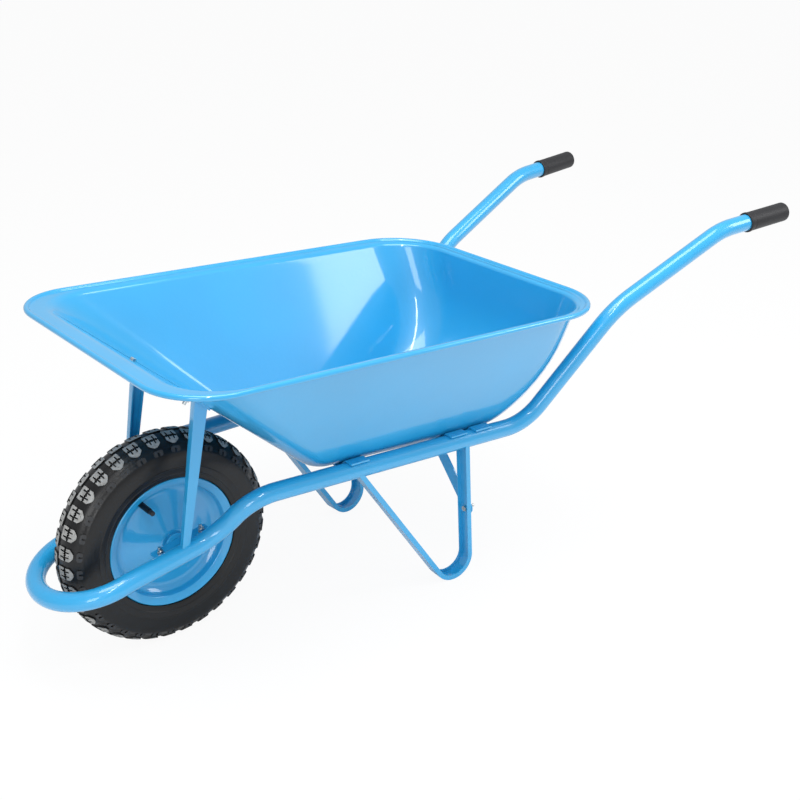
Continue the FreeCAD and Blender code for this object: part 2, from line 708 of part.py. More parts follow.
left_brace = leg_brace()
mirrored(left_brace, "leg_brace_right")
web_sheet = size("leg_sheet") / math.cos(lean)
brace_bolt_head = brace_bolt + Vector(web_sheet + 1, 0, 0)
brace_stack = brace_bolt_head.x - brace_front + size("brace_sheet")
brace_bolts = both_sides(brace_bolt_head, Vector(-1, 0, 0))
fasten("brace", brace_stack, brace_bolts)

# the legs, bored for the braces' bolts
leg_hole = solid_feature("leg_hole", Part.makeCylinder(
    size("bolt_radius") + size("bolt_clearance"), 40, brace_bolt + Vector(-20, 0, 0), Vector(1, 0, 0)))
piece(cut("leg_bored", left_leg, leg_hole), "leg_left")
mirrored(nodes["leg_left"], "leg_right")

# ---------------------------------------------------------------- axle, brackets and clamps
plate_turn = FreeCAD.Rotation(Vector(0, 1, 0), size("bracket_pitch"))
plate_up = plate_turn.multVec(Vector(0, 0, 1))
plate_ahead = plate_turn.multVec(Vector(1, 0, 0))


def bracket():
    """A plate welded to the inside of the rail, bored for the clamp's two bolts."""
    body = new_body("bracket_left")
    corners = [("0 - bracket_length / 2", "0 - bracket_width / 2"),
               ("bracket_length / 2", "0 - bracket_width / 2"),
               ("bracket_length / 2", "bracket_width / 2"),
               ("0 - bracket_length / 2", "bracket_width / 2")]
    body.Tip = pad(body, outline(body, "XY_Plane", corners), "bracket_sheet")
    for x in ("clamp_bolt_reach", "0 - clamp_bolt_reach"):
        pocket_through(body, circle(body, "XY_Plane", "bolt_radius + bolt_clearance", (x, "0")))
    body.Placement = plate_place
    return piece(cut("bracket_on_rail", body, tube_rod), "axle_bracket_left")


def clamp():
    """A hat-shaped strap that holds the axle up against the plate."""
    body = new_body("clamp_left")
    wide = "axle_radius + axle_fit"
    outer = "( %s + clamp_sheet )" % wide
    floor = "0 - bracket_height - %s" % outer
    side = [("clamp_bolt_reach + nut_flats", "0 - seat_gap"),
            ("clamp_bolt_reach + nut_flats", "0 - seat_gap - clamp_sheet"),
            (outer, "0 - seat_gap - clamp_sheet"),
            (outer, floor)]
    other = [("0 - ( %s )" % x, z) for x, z in reversed(side)]
    body.Tip = pad(body, outline(body, "XZ_Plane", side + other), "clamp_width", both_ways=True)
    pocket_through(body, circle(body, "XZ_Plane", wide, ("0", "0 - bracket_height")))
    slot = [("0 - ( %s )" % wide, "0 - bracket_height"), (wide, "0 - bracket_height"),
            (wide, "clamp_sheet"), ("0 - ( %s )" % wide, "clamp_sheet")]
    pocket_through(body, outline(body, "XZ_Plane", slot))
    for x in ("clamp_bolt_reach", "0 - clamp_bolt_reach"):
        pocket_through(body, circle(body, "XY_Plane", "bolt_radius + bolt_clearance", (x, "0")))
    round_edges(body, "axle_radius", lambda edge: edge.BoundBox.YLength > size("clamp_width") / 2
                and edge.BoundBox.ZMax < -size("bracket_height") - size("axle_radius") - 1)
    body.Placement = plate_place
    return piece(body, "axle_clamp_left")


plate_low = axle + plate_up * size("bracket_height") + Vector(0, size("bracket_y"), 0)
plate_place = FreeCAD.Placement(plate_low, plate_turn)
left_bracket = bracket()
mirrored(left_bracket, "axle_bracket_right")
left_clamp = clamp()
mirrored(left_clamp, "axle_clamp_right")
clamp_stack = size("clamp_sheet") + size("seat_gap") + size("bracket_sheet")
clamp_bolts = []
for sign in (1, -1):
    seat = plate_low + plate_ahead * size("clamp_bolt_reach") * sign
    clamp_bolts += both_sides(seat - plate_up * (size("seat_gap") + size("clamp_sheet")), plate_up)
fasten("clamp", clamp_stack, clamp_bolts)


# ---------------------------------------------------------------- wheel
def on_axle(body, label):
    """Sets a turned piece on the axle's centre."""
    body.Placement = FreeCAD.Placement(axle, FreeCAD.Rotation())
    return piece(body, label)


rod = turned("axle_rod", [("0", "0 - axle_half_length"), ("axle_radius", "0 - axle_half_length"),
                          ("axle_radius", "axle_half_length"), ("0", "axle_half_length")])
on_axle(rod, "axle")
spacer = ring("spacer", "axle_radius + axle_fit", "spacer_radius",
              "hub_half_length + spacer_gap", "bracket_y - clamp_width / 2 - spacer_gap")
mirrored(on_axle(spacer, "axle_spacer_left"), "axle_spacer_right")
hub_bore = "bearing_radius + hub_fit"
hub = turned("hub", [
    (hub_bore, "0 - hub_half_length"), ("hub_radius", "0 - hub_half_length"),
    ("hub_radius", "hub_half_length"), (hub_bore, "hub_half_length"),
    (hub_bore, "hub_half_length - bearing_width"),
    (hub_bore + " - hub_lip", "hub_half_length - bearing_width"),
    (hub_bore + " - hub_lip", "bearing_width - hub_half_length"),
    (hub_bore, "bearing_width - hub_half_length")])
on_axle(hub, "hub_tube")


def bearing_ring(name, inner, outer):
    """A bearing ring with its ball groove."""
    blank = ring(name, inner, outer, "hub_half_length - bearing_width", "hub_half_length")
    blank.Placement = FreeCAD.Placement(axle, FreeCAD.Rotation())
    groove = doc.addObject("Part::Torus", name + "_groove")
    groove.setExpression("Radius1", cells("( bearing_radius + axle_radius ) / 2"))
    groove.setExpression("Radius2", cells("groove_radius"))
    groove.Placement = facing(bearing_middle, Vector(0, 1, 0))
    label = "bearing_%s_left" % name
    mirrored(piece(cut(label + "_cut", blank, groove), label), "bearing_%s_right" % name)


bearing_middle = axle + Vector(0, size("hub_half_length") - size("bearing_width") / 2, 0)
bearing_ring("outer_ring", "bearing_radius - race_wall", "bearing_radius")
bearing_ring("inner_ring", "axle_radius + axle_fit", "axle_radius + race_wall")
pitch_radius = (size("bearing_radius") + size("axle_radius")) / 2
balls = []
for k in range(int(size("ball_count"))):
    turn = 2 * math.pi * k / size("ball_count")
    offset = Vector(pitch_radius * math.cos(turn), 0, pitch_radius * math.sin(turn))
    balls.append(FreeCAD.Placement(bearing_middle + offset, FreeCAD.Rotation()))
ball_set = group("bearing_balls_left", Part.makeSphere(size("ball_radius")), balls)
mirrored(ball_set, "bearing_balls_right")

# the sheet's outer face runs from the rolled lip over the bead seat into the well, and the
# dish starts at the middle plane and rises to the hub
disc_corners = [
    ("hub_radius + hub_fit", "hub_half_length - 6"), ("cone_radius", "hub_half_length - 8"),
    ("dish_radius", "dish_y"), ("rim_well_radius - disc_sheet - 1", "rim_well_half + disc_sheet"),
    ("rim_seat_radius - disc_sheet", "rim_well_half + 6"),
    ("rim_seat_radius - disc_sheet", "rim_lip_y - 4"), ("rim_lip_radius - 2", "rim_lip_y"),
    ("rim_lip_radius", "rim_lip_y - 1"), ("rim_lip_radius", "rim_lip_y - 3"),
    ("rim_seat_radius", "rim_lip_y - 6"), ("rim_seat_radius", "rim_well_half + 5"),
    ("rim_well_radius", "rim_well_half"), ("rim_well_radius", "seat_gap"),
    ("rim_well_radius - disc_sheet", "seat_gap"),
    ("rim_well_radius - disc_sheet", "rim_well_half - 1"),
    ("dish_radius", "dish_y - disc_sheet"), ("cone_radius - disc_sheet", "hub_half_length - 10"),
    ("hub_radius + hub_fit", "hub_half_length - 8")]
disc = turned("disc_left", disc_corners)
turn = math.radians(size("valve_angle"))
valve_foot = axle + Vector(math.cos(turn), 0, math.sin(turn)) * size("valve_station")
disc.Placement = FreeCAD.Placement(axle, FreeCAD.Rotation())
hole_start = Vector(0, size("valve_start") - size("valve_gap"), 0)
valve_hole = solid_feature("valve_hole", Part.makeCylinder(
    size("valve_radius") + size("valve_gap"), size("valve_end"), valve_foot + hole_start, Vector(0, 1, 0)))
piece(cut("disc_bored", disc, valve_hole), "wheel_disc_left")
other_disc = turned("disc_right", disc_corners)
other_disc.Placement = FreeCAD.Placement(axle, FreeCAD.Rotation(Vector(1, 0, 0), 180))
piece(other_disc, "wheel_disc_right")


def tyre_line(inset, foot):
    """Half of the tyre's section at an inset from its outer face, foot to crown."""
    half, crown = size("tyre_half_width") - inset, size("tyre_radius") - inset
    bulge = size("rim_lip_radius") + size("tyre_shoulder")
    points = [foot]
    for step in range(1, 10):
        angle = math.radians(90 * step / 9)
        wide = half * math.cos(angle) ** 0.85
        high = bulge + (crown - bulge) * math.sin(angle) ** 0.85
        if step == 9:
            wide, high = 0, crown
        points.append((high, wide))
    return points


def tyre_half(inset, foot_radius, foot_y):
    return tyre_line(inset, (foot_radius, foot_y))


bead = size("rim_lip_y") - 6 - size("tube_gap")
gap = size("tube_gap")
outer_line = [(size("rim_lip_radius") + gap, size("rim_lip_y") - 3 - gap),
              (size("rim_lip_radius") + 2 * gap, size("rim_lip_y") + gap)]
outer_line += tyre_half(0, size("rim_lip_radius") + size("tyre_shoulder") / 2, size("tyre_half_width") - 1)
inner_line = tyre_half(size("tyre_wall"), size("rim_seat_radius") + 9, bead - size("tyre_wall"))
seat = size("rim_seat_radius") + size("tube_gap")
half_section = [(seat, bead - size("tyre_wall")), (seat, bead)] + outer_line
section = half_section + [(r, -y) for r, y in reversed(half_section[:-1])]
cavity = inner_line + [(r, -y) for r, y in reversed(inner_line[:-1])]
tyre_corners = section + list(reversed(cavity))
tyre = turned("tyre_casing", [(words(r), words(y)) for r, y in tyre_corners])
on_axle(tyre, "tyre")
tube_outer = tyre_half(size("tyre_wall") + gap, size("rim_seat_radius") + 9, bead - size("tyre_wall") - 1)
tube_inner = tyre_half(size("tyre_wall") + gap + size("inner_tube_wall"),
                       size("rim_seat_radius") + 11, bead - size("tyre_wall") - 4)
well_foot = size("valve_station") + size("valve_radius") + size("valve_gap")
tube_foot = [(well_foot, size("rim_well_half") - 1), (size("rim_seat_radius") + 1.5, size("rim_well_half") + 4)]
tube_section = tube_foot + tube_outer
tube_section += [(r, -y) for r, y in reversed(tube_section[:-1])]
hollow_foot = [(radius + size("inner_tube_wall"), y - 1) for radius, y in tube_foot]
hollow = hollow_foot + tube_inner
hollow += [(r, -y) for r, y in reversed(hollow[:-1])]
air_body = turned("air_tube", [(words(r), words(y)) for r, y in tube_section])
air_body.Placement = FreeCAD.Placement(axle, FreeCAD.Rotation())
air_space = turned("air_space", [(words(r), words(y)) for r, y in hollow])
air_space.Placement = FreeCAD.Placement(axle, FreeCAD.Rotation())
piece(cut("air_tube_hollow", air_body, air_space), "inner_tube")

valve = turned("valve", [
    ("0", "valve_start"), ("valve_radius", "valve_start"), ("valve_radius", "valve_end - 4"),
    ("valve_cap_radius", "valve_end"), ("0", "valve_end")])
valve.Placement = FreeCAD.Placement(Vector(valve_foot.x, 0, valve_foot.z), FreeCAD.Rotation())
piece(valve, "valve_stem")
cap = turned("cap", [
    ("0", "valve_end + seat_gap"), ("valve_cap_radius", "valve_end + seat_gap"),
    ("valve_cap_radius", "valve_end + valve_cap_length - 1"),
    ("valve_cap_radius - 1", "valve_end + valve_cap_length"), ("0", "valve_end + valve_cap_length")])
cap.Placement = FreeCAD.Placement(Vector(valve_foot.x, 0, valve_foot.z), FreeCAD.Rotation())
piece(cap, "valve_cap")

# ---------------------------------------------------------------- checks and files
doc.recompute()
for obj in doc.Objects:
    if "Invalid" in obj.State or "Error" in obj.State:
        raise RuntimeError("%s is %s" % (obj.Name, obj.State))
expected = math.pi * (tube_radius ** 2 - (tube_radius - size("tube_wall")) ** 2) * route.Length
if abs(frame_tube.Shape.Volume / expected - 1) > 0.001:
    raise RuntimeError("the frame tube's volume is not its section times its length")
os.makedirs("parts", exist_ok=True)
for label, node in nodes.items():
    if node.Shape.isNull() or not node.Shape.isValid() or not node.Shape.Solids:
        raise RuntimeError(label + " has no sound shape")
    node.Shape.exportStep("parts/%s.step" % label)
    box = node.Shape.BoundBox
    print("%-24s %2d solids %9.0f mm3  x %.1f %.1f  y %.1f %.1f  z %.1f %.1f" % (
        label, len(node.Shape.Solids), node.Shape.Volume,
        box.XMin, box.XMax, box.YMin, box.YMax, box.ZMin, box.ZMax))
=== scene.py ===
import json
import math
import random

import bmesh
import bpy
from mathutils import Matrix, Vector


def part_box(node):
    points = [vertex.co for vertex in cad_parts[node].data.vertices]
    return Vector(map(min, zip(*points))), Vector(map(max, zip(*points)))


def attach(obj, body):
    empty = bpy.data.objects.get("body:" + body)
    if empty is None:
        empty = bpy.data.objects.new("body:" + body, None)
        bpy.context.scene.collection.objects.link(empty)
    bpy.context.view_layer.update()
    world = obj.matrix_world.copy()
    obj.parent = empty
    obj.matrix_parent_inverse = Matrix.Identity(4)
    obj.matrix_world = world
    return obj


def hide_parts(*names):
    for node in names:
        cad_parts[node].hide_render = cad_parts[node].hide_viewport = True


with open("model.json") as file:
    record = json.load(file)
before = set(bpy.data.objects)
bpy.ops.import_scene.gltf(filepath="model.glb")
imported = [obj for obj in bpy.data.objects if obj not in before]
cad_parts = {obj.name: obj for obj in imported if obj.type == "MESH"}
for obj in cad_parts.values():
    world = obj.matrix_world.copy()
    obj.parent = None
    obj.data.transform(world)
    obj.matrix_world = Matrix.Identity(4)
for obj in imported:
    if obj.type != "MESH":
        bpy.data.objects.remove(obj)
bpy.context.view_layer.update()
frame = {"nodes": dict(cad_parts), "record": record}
axleLow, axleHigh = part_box("axle")
axleX = (axleLow.x + axleHigh.x) / 2
axleZ = (axleLow.z + axleHigh.z) / 2


# ---- small tools
def placed(name, bm, body, replaced=(), materials=(), smooth=True):
    mesh = bpy.data.meshes.new(name)
    bm.to_mesh(mesh)
    bm.free()
    if smooth:
        mesh.shade_smooth()
    obj = bpy.data.objects.new(name, mesh)
    bpy.context.scene.collection.objects.link(obj)
    for material in materials:
        mesh.materials.append(material)
    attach(obj, body)
    if replaced:
        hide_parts(*replaced)
    return obj


def sharpenByAngle(obj, degrees):
    obj.data.set_sharp_from_angle(angle=math.radians(degrees))


def roundedLine(corners, arcSteps=6):
    # corners are (a, b, radius); each one becomes an arc of that radius
    line = []
    for i, (a, b, radius) in enumerate(corners):
        here = Vector((a, b))
        if radius == 0 or i in (0, len(corners) - 1):
            line.append(here)
            continue
        back = Vector(corners[i - 1][:2]) - here
        ahead = Vector(corners[i + 1][:2]) - here
        half = back.angle(ahead) / 2
        run = min(radius / math.tan(half), back.length * 0.49, ahead.length * 0.49)
        radius = run * math.tan(half)
        centre = here + (back.normalized() + ahead.normalized()).normalized() * radius / math.sin(half)
        start = here + back.normalized() * run - centre
        end = here + ahead.normalized() * run - centre
        sweep = start.angle_signed(end)
        for k in range(arcSteps + 1):
            line.append(centre + Matrix.Rotation(-sweep * k / arcSteps, 2) @ start)
    return line


def lineEdges(bm, points):
    verts = [bm.verts.new(p) for p in points]
    return verts, [bm.edges.new(pair) for pair in zip(verts, verts[1:])]


def spunAboutAxle(bm, line, steps, closed=False):
    # line is (radius, y); the spin goes about the wheel's axis
    points = [Vector((axleX + r, y, axleZ)) for r, y in line]
    verts, edges = lineEdges(bm, points)
    if closed:
        edges.append(bm.edges.new((verts[-1], verts[0])))
    bmesh.ops.spin(bm, geom=verts + edges, cent=(axleX, 0, axleZ), axis=(0, 1, 0),
                   angle=2 * math.pi, steps=steps, use_merge=True, use_duplicate=False)
    bmesh.ops.remove_doubles(bm, verts=bm.verts, dist=1e-6)
    bmesh.ops.recalc_face_normals(bm, faces=bm.faces)


# ---- materials
def nodeMaker(tree):
    def make(kind, at=(0, 0), **inputs):
        node = tree.nodes.new(kind)
        node.location = at
        for key, value in inputs.items():
            if key in ("operation", "blend_type", "data_type", "noise_dimensions",
                       "wave_type", "bands_direction", "interpolation_type", "feature"):
                setattr(node, key, value)
            else:
                node.inputs[key.replace("_", " ")].default_value = value
        return node
    return make


def newGroup(name, inputs, outputs):
    tree = bpy.data.node_groups.new(name, "ShaderNodeTree")
    for label, kind, default in inputs:
        item = tree.interface.new_socket(name=label, in_out="INPUT", socket_type=kind)
        item.default_value = default
    for label, kind in outputs:
        tree.interface.new_socket(name=label, in_out="OUTPUT", socket_type=kind)
    return tree, tree.nodes.new("NodeGroupInput"), tree.nodes.new("NodeGroupOutput")


def driftGroup():
    # slow colour drift, fine specks and a soft dust mask for any finish
    tree, given, out = newGroup("surfaceDrift", [
        ("Color", "NodeSocketColor", (0.5, 0.5, 0.5, 1)), ("Drift", "NodeSocketFloat", 0.05),
        ("Drift Scale", "NodeSocketFloat", 5.0), ("Dust", "NodeSocketFloat", 0.02),
        ("Dust Color", "NodeSocketColor", (0.6, 0.58, 0.55, 1)),
        ("Roughness", "NodeSocketFloat", 0.3), ("Roughness Drift", "NodeSocketFloat", 0.05)],
        [("Color", "NodeSocketColor"), ("Roughness", "NodeSocketFloat")])
    make, link = nodeMaker(tree), tree.links.new
    where = make("ShaderNodeTexCoord")
    slow = make("ShaderNodeTexNoise", Detail=3.0, Roughness=0.5)
    link(where.outputs["Object"], slow.inputs["Vector"])
    link(given.outputs["Drift Scale"], slow.inputs["Scale"])
    centred = make("ShaderNodeMath", operation="SUBTRACT")
    centred.inputs[1].default_value = 0.5
    link(slow.outputs["Fac"], centred.inputs[0])
    amount = make("ShaderNodeMath", operation="MULTIPLY")
    link(centred.outputs[0], amount.inputs[0])
    link(given.outputs["Drift"], amount.inputs[1])
    gain = make("ShaderNodeMath", operation="MULTIPLY_ADD")
    gain.inputs[1].default_value = 2.0
    gain.inputs[2].default_value = 1.0
    link(amount.outputs[0], gain.inputs[0])
    toned = make("ShaderNodeVectorMath", operation="SCALE")
    link(given.outputs["Color"], toned.inputs[0])
    link(gain.outputs[0], toned.inputs["Scale"])
    fine = make("ShaderNodeTexNoise", Scale=420.0, Detail=2.0)
    link(where.outputs["Object"], fine.inputs["Vector"])
    speck = make("ShaderNodeMapRange", interpolation_type="SMOOTHSTEP")
    for key, value in (("From Min", 0.6), ("From Max", 0.8), ("To Min", 0.0), ("To Max", 1.0)):
        speck.inputs[key].default_value = value
    link(fine.outputs["Fac"], speck.inputs["Value"])
    dusty = make("ShaderNodeMath", operation="MULTIPLY")
    link(speck.outputs[0], dusty.inputs[0])
    link(given.outputs["Dust"], dusty.inputs[1])
    mixed = make("ShaderNodeMix", data_type="RGBA")
    link(dusty.outputs[0], mixed.inputs["Factor"])
    link(toned.outputs[0], mixed.inputs[6])
    link(given.outputs["Dust Color"], mixed.inputs[7])
    link(mixed.outputs[2], out.inputs["Color"])
    rough = make("ShaderNodeMath", operation="MULTIPLY_ADD")
    link(centred.outputs[0], rough.inputs[0])
    link(given.outputs["Roughness Drift"], rough.inputs[1])
    link(given.outputs["Roughness"], rough.inputs[2])
    link(rough.outputs[0], out.inputs["Roughness"])
    return tree


def peelGroup():
    # the low ripple of sprayed paint or a rolled skin, as a height
    tree, given, out = newGroup("skinRipple", [
        ("Ripple Scale", "NodeSocketFloat", 90.0), ("Wave Scale", "NodeSocketFloat", 7.0),
        ("Wave Share", "NodeSocketFloat", 0.8)], [("Height", "NodeSocketFloat")])
    make, link = nodeMaker(tree), tree.links.new
    where = make("ShaderNodeTexCoord")
    ripple = make("ShaderNodeTexNoise", Detail=1.0)
    wave = make("ShaderNodeTexNoise", Detail=1.0)
    for node, key in ((ripple, "Ripple Scale"), (wave, "Wave Scale")):
        link(where.outputs["Object"], node.inputs["Vector"])
        link(given.outputs[key], node.inputs["Scale"])
    share = make("ShaderNodeMath", operation="MULTIPLY_ADD")
    link(wave.outputs["Fac"], share.inputs[0])
    link(given.outputs["Wave Share"], share.inputs[1])
    link(ripple.outputs["Fac"], share.inputs[2])
    link(share.outputs[0], out.inputs["Height"])
    return tree


surfaceDrift = driftGroup()
skinRipple = peelGroup()


def finish(name, look):
    material = bpy.data.materials.new(name)
    material.use_nodes = True
    tree = material.node_tree
    make, link = nodeMaker(tree), tree.links.new
    shader = tree.nodes["Principled BSDF"]
    drift = tree.nodes.new("ShaderNodeGroup")
    drift.node_tree = surfaceDrift
    for key in ("Color", "Drift", "Drift Scale", "Dust", "Dust Color", "Roughness", "Roughness Drift"):
        if key in look:
            drift.inputs[key].default_value = look[key]
    link(drift.outputs["Color"], shader.inputs["Base Color"])
    link(drift.outputs["Roughness"], shader.inputs["Roughness"])
    ripple = tree.nodes.new("ShaderNodeGroup")
    ripple.node_tree = skinRipple
    for key in ("Ripple Scale", "Wave Scale", "Wave Share"):
        if key in look:
            ripple.inputs[key].default_value = look[key]
    bump = make("ShaderNodeBump", Strength=look.get("Bump", 0.1), Distance=look.get("Depth", 0.001))
    link(ripple.outputs["Height"], bump.inputs["Height"])
    link(bump.outputs["Normal"], shader.inputs["Normal"])
    for key in ("Metallic", "Coat Weight", "Coat Roughness", "Specular IOR Level", "IOR"):
        if key in look:
            shader.inputs[key].default_value = look[key]
    return material


paintLook = {
    "Color": (0.014, 0.330, 0.640, 1), "Drift": 0.10, "Drift Scale": 5.0, "Dust": 0.02,
    "Dust Color": (0.5, 0.65, 0.75, 1), "Roughness": 0.38, "Roughness Drift": 0.1,
    "Bump": 0.14, "Depth": 0.0008, "Ripple Scale": 140.0, "Wave Scale": 11.0, "Wave Share": 6.0,
    "Coat Weight": 1.0, "Coat Roughness": 0.07}
zincLook = {
    "Color": (0.62, 0.62, 0.60, 1), "Drift": 0.22, "Drift Scale": 60.0, "Dust": 0.25,
    "Dust Color": (0.35, 0.33, 0.3, 1), "Roughness": 0.30, "Roughness Drift": 0.2,
    "Metallic": 1.0, "Bump": 0.2, "Depth": 0.0003, "Ripple Scale": 500.0}
steelLook = dict(zincLook, **{"Color": (0.56, 0.56, 0.57, 1), "Roughness": 0.16, "Dust": 0.1})
tyreLook = {
    "Color": (0.0055, 0.0056, 0.006, 1), "Drift": 0.3, "Drift Scale": 26.0, "Dust": 0.12,
    "Dust Color": (0.06, 0.06, 0.062, 1), "Roughness": 0.33, "Roughness Drift": 0.22,
    "Bump": 0.3, "Depth": 0.0006, "Ripple Scale": 260.0, "Wave Scale": 30.0, "Wave Share": 1.5,
    "Specular IOR Level": 0.36}
scuffLook = dict(tyreLook, **{
    "Color": (0.30, 0.30, 0.29, 1), "Drift": 0.6, "Drift Scale": 170.0, "Dust": 0.95,
    "Dust Color": (0.02, 0.02, 0.02, 1), "Roughness": 0.85, "Roughness Drift": 0.1})
# lug and rib tops: a lighter grey than the casing, a painted sheen
lugSheenLook = dict(tyreLook, **{"Color": (0.030, 0.031, 0.033, 1), "Drift": 0.5, "Roughness": 0.5})
gripLook = dict(tyreLook, **{
    "Color": (0.018, 0.018, 0.02, 1), "Roughness": 0.5, "Drift": 0.2, "Dust": 0.12,
    "Ripple Scale": 700.0, "Bump": 0.25})
bluePaint = finish("bluePaint", paintLook)
zincPlate = finish("zincPlate", zincLook)
groundSteel = finish("groundSteel", steelLook)
tyreRubber = finish("tyreRubber", tyreLook)
scuffedRubber = finish("scuffedRubber", scuffLook)
lugRubber = finish("lugRubber", lugSheenLook)
gripRubber = finish("gripRubber", gripLook)
slotFinish = {"blue_paint": bluePaint, "zinc_steel": zincPlate, "bearing_steel": groundSteel,
              "tyre_rubber": tyreRubber, "tube_rubber": tyreRubber, "cap_plastic": gripRubber,
              "grip_rubber": gripRubber}
for part in frame["record"]["subparts"]:
    node = frame["nodes"][part["node"]]
    node.data.materials.clear()
    node.data.materials.append(slotFinish[part["material_slot"]])
print("materials made")

# ---- tray: one pressed sheet with a flange and a rolled bead
tray = {
    "depth": 0.251, "sheet": 0.001, "pitch": 2.7, "baseHeight": 0.286,
    "baseFront": -0.230, "baseRear": -0.747, "baseFrontHalf": 0.131, "baseRearHalf": 0.155,
    "mouthFront": 0.089, "mouthRear": -0.742, "mouthHalf": 0.272,
    "frontRound": 0.050, "sideRound": 0.045, "rearRound": 0.175,
    "baseCorners": (0.030, 0.060), "mouthCorners": (0.092, 0.105),
    "rimFront": 0.127, "rimRear": -0.764, "rimHalf": 0.296, "rimCorners": (0.106, 0.127),
    "bead": 0.0048, "brim": 0.006, "arcSteps": 14, "sideCuts": 14}


def wallReach(height, slope, radius):
    lean = math.sqrt(1 + slope * slope)
    if height >= radius * (1 - slope / lean):
        return slope * height
    return radius * (slope - lean) + math.sqrt(radius ** 2 - (radius - height) ** 2)


def roundedRing(bm, front, rear, frontHalf, rearHalf, rounds, z):
    # one closed row of vertices: a quad with round corners and divided sides
    corners = [Vector(p) for p in ((front, frontHalf), (rear, rearHalf), (rear, -rearHalf), (front, -frontHalf))]
    row = []
    for i, corner in enumerate(corners):
        radius = rounds[0] if i in (0, 3) else rounds[1]
        back = (corners[i - 1] - corner).normalized()
        ahead = (corners[(i + 1) % 4] - corner).normalized()
        half = back.angle(ahead) / 2
        centre = corner + (back + ahead).normalized() * radius / math.sin(half)
        start = corner + back * radius / math.tan(half) - centre
        sweep = math.pi - 2 * half
        arc = [centre + Matrix.Rotation(sweep * k / tray["arcSteps"], 2) @ start for k in range(tray["arcSteps"] + 1)]
        if row:
            row += [row[-1].lerp(arc[0], k / tray["sideCuts"]) for k in range(1, tray["sideCuts"])]
        row += arc
    row += [row[-1].lerp(row[0], k / tray["sideCuts"]) for k in range(1, tray["sideCuts"])]
    return [bm.verts.new((p.x, p.y, z)) for p in row]


def wallRing(bm, height, inset, lift, spread=0.0):
    t, share = tray, height / tray["depth"]
    front = t["baseFront"] + wallReach(height, (t["mouthFront"] - t["baseFront"]) / t["depth"], t["frontRound"])
    rear = t["baseRear"] - wallReach(height, (t["baseRear"] - t["mouthRear"]) / t["depth"], t["rearRound"])
    halves = [half + wallReach(height, (t["mouthHalf"] - half) / t["depth"], t["sideRound"]) - inset + spread
              for half in (t["baseFrontHalf"], t["baseRearHalf"])]
    rounds = [low * (1 - share) + high * share - inset + spread
              for low, high in zip(t["baseCorners"], t["mouthCorners"])]
    return roundedRing(bm, front - inset + spread, rear + inset - spread, *halves, rounds, height + lift)


def rimRing(bm, inset, z):
    t = tray
    return roundedRing(bm, t["rimFront"] - inset, t["rimRear"] + inset, t["rimHalf"] - inset,
                       t["rimHalf"] - inset, [corner - inset for corner in t["rimCorners"]], z)


def buildTray():
    bm = bmesh.new()
    t = tray
    depth, sheet, bead = t["depth"], t["sheet"], t["bead"]
    shares = [0, 0.0008, 0.003, 0.0075, 0.014, 0.023, 0.035, 0.05, 0.07, 0.095, 0.125, 0.16, 0.2,
              0.25, 0.31, 0.38, 0.46, 0.55, 0.65, 0.75, 0.84, 0.92, 0.965]
    rings = [wallRing(bm, depth * share, sheet, sheet) for share in shares]
    for k in range(4):
        turn = math.radians(25 * k + 10)
        rise, out = t["brim"] * math.sin(turn), t["brim"] * (1 - math.cos(turn))
        rings.append(wallRing(bm, depth - t["brim"] + rise - 0.001, sheet, sheet, out + 0.0015 * k))
    rings.append(rimRing(bm, 2 * bead + 0.006, depth))
    rings.append(rimRing(bm, 2 * bead + 0.0012, depth))
    for k in range(15):
        turn = math.radians(168 - 21 * k)
        rings.append(rimRing(bm, bead * (1 - math.cos(turn)), depth - sheet / 2 + bead * math.sin(turn)))
    base = bm.faces.new(rings[0])
    for low, high in zip(rings, rings[1:]):
        for k in range(len(low)):
            bm.faces.new((low[k - 1], low[k], high[k], high[k - 1]))
    bmesh.ops.recalc_face_normals(bm, faces=bm.faces)
    base.normal_update()
    if base.normal.z < 0:
        bmesh.ops.reverse_faces(bm, faces=bm.faces)
    bmesh.ops.rotate(bm, verts=bm.verts, cent=(t["baseFront"], 0, 0),
                     matrix=Matrix.Rotation(math.radians(-t["pitch"]), 3, "Y"))
    bmesh.ops.translate(bm, verts=bm.verts, vec=(axleX, 0, t["baseHeight"]))
    obj = placed("trayPressing", bm, "frame", ["tray"], [bluePaint])
    sheetWall = obj.modifiers.new("sheet", "SOLIDIFY")
    sheetWall.thickness = sheet
    sheetWall.offset = -1
    sharpenByAngle(obj, 50)
    return obj


buildTray()
print("tray made")


# ---- frame tube: one round tube swept along runs and tangent arcs, from the nose to both grips
tube = {
    "radius": 0.016, "sides": 40, "arcStep": 3.0,
    "noseHalf": 0.0953, "noseStation": 0.130, "noseHeight": 0.180, "nosePitch": 11.9, "noseRun": 0.026,
    "noseBlend": 0.300,
    # place along X from the axle, half width, height, bend radius
    "bends": [(-0.049, 0.0953, 0.213, 0.092), (-0.0906, 0.141, 0.287, 0.074), (-0.665, 0.179, 0.2735, 0.085),
              (-0.820, 0.2445, 0.484, 0.160), (-1.066, 0.277, 0.597, 0.150)],
    "end": (-1.232, 0.291, 0.608)}


def bendArc(before, corner, after, radius):
    back, ahead = (before - corner).normalized(), (after - corner).normalized()
    half = back.angle(ahead) / 2
    centre = corner + (back + ahead).normalized() * radius / math.sin(half)
    start = corner + back * radius / math.tan(half) - centre
    turnAxis = start.cross(corner + ahead * radius / math.tan(half) - centre)
    sweep = math.pi - 2 * half
    count = max(3, math.ceil(math.degrees(sweep) / tube["arcStep"]))
    return [centre + Matrix.Rotation(sweep * k / count, 3, turnAxis) @ start for k in range(count + 1)]


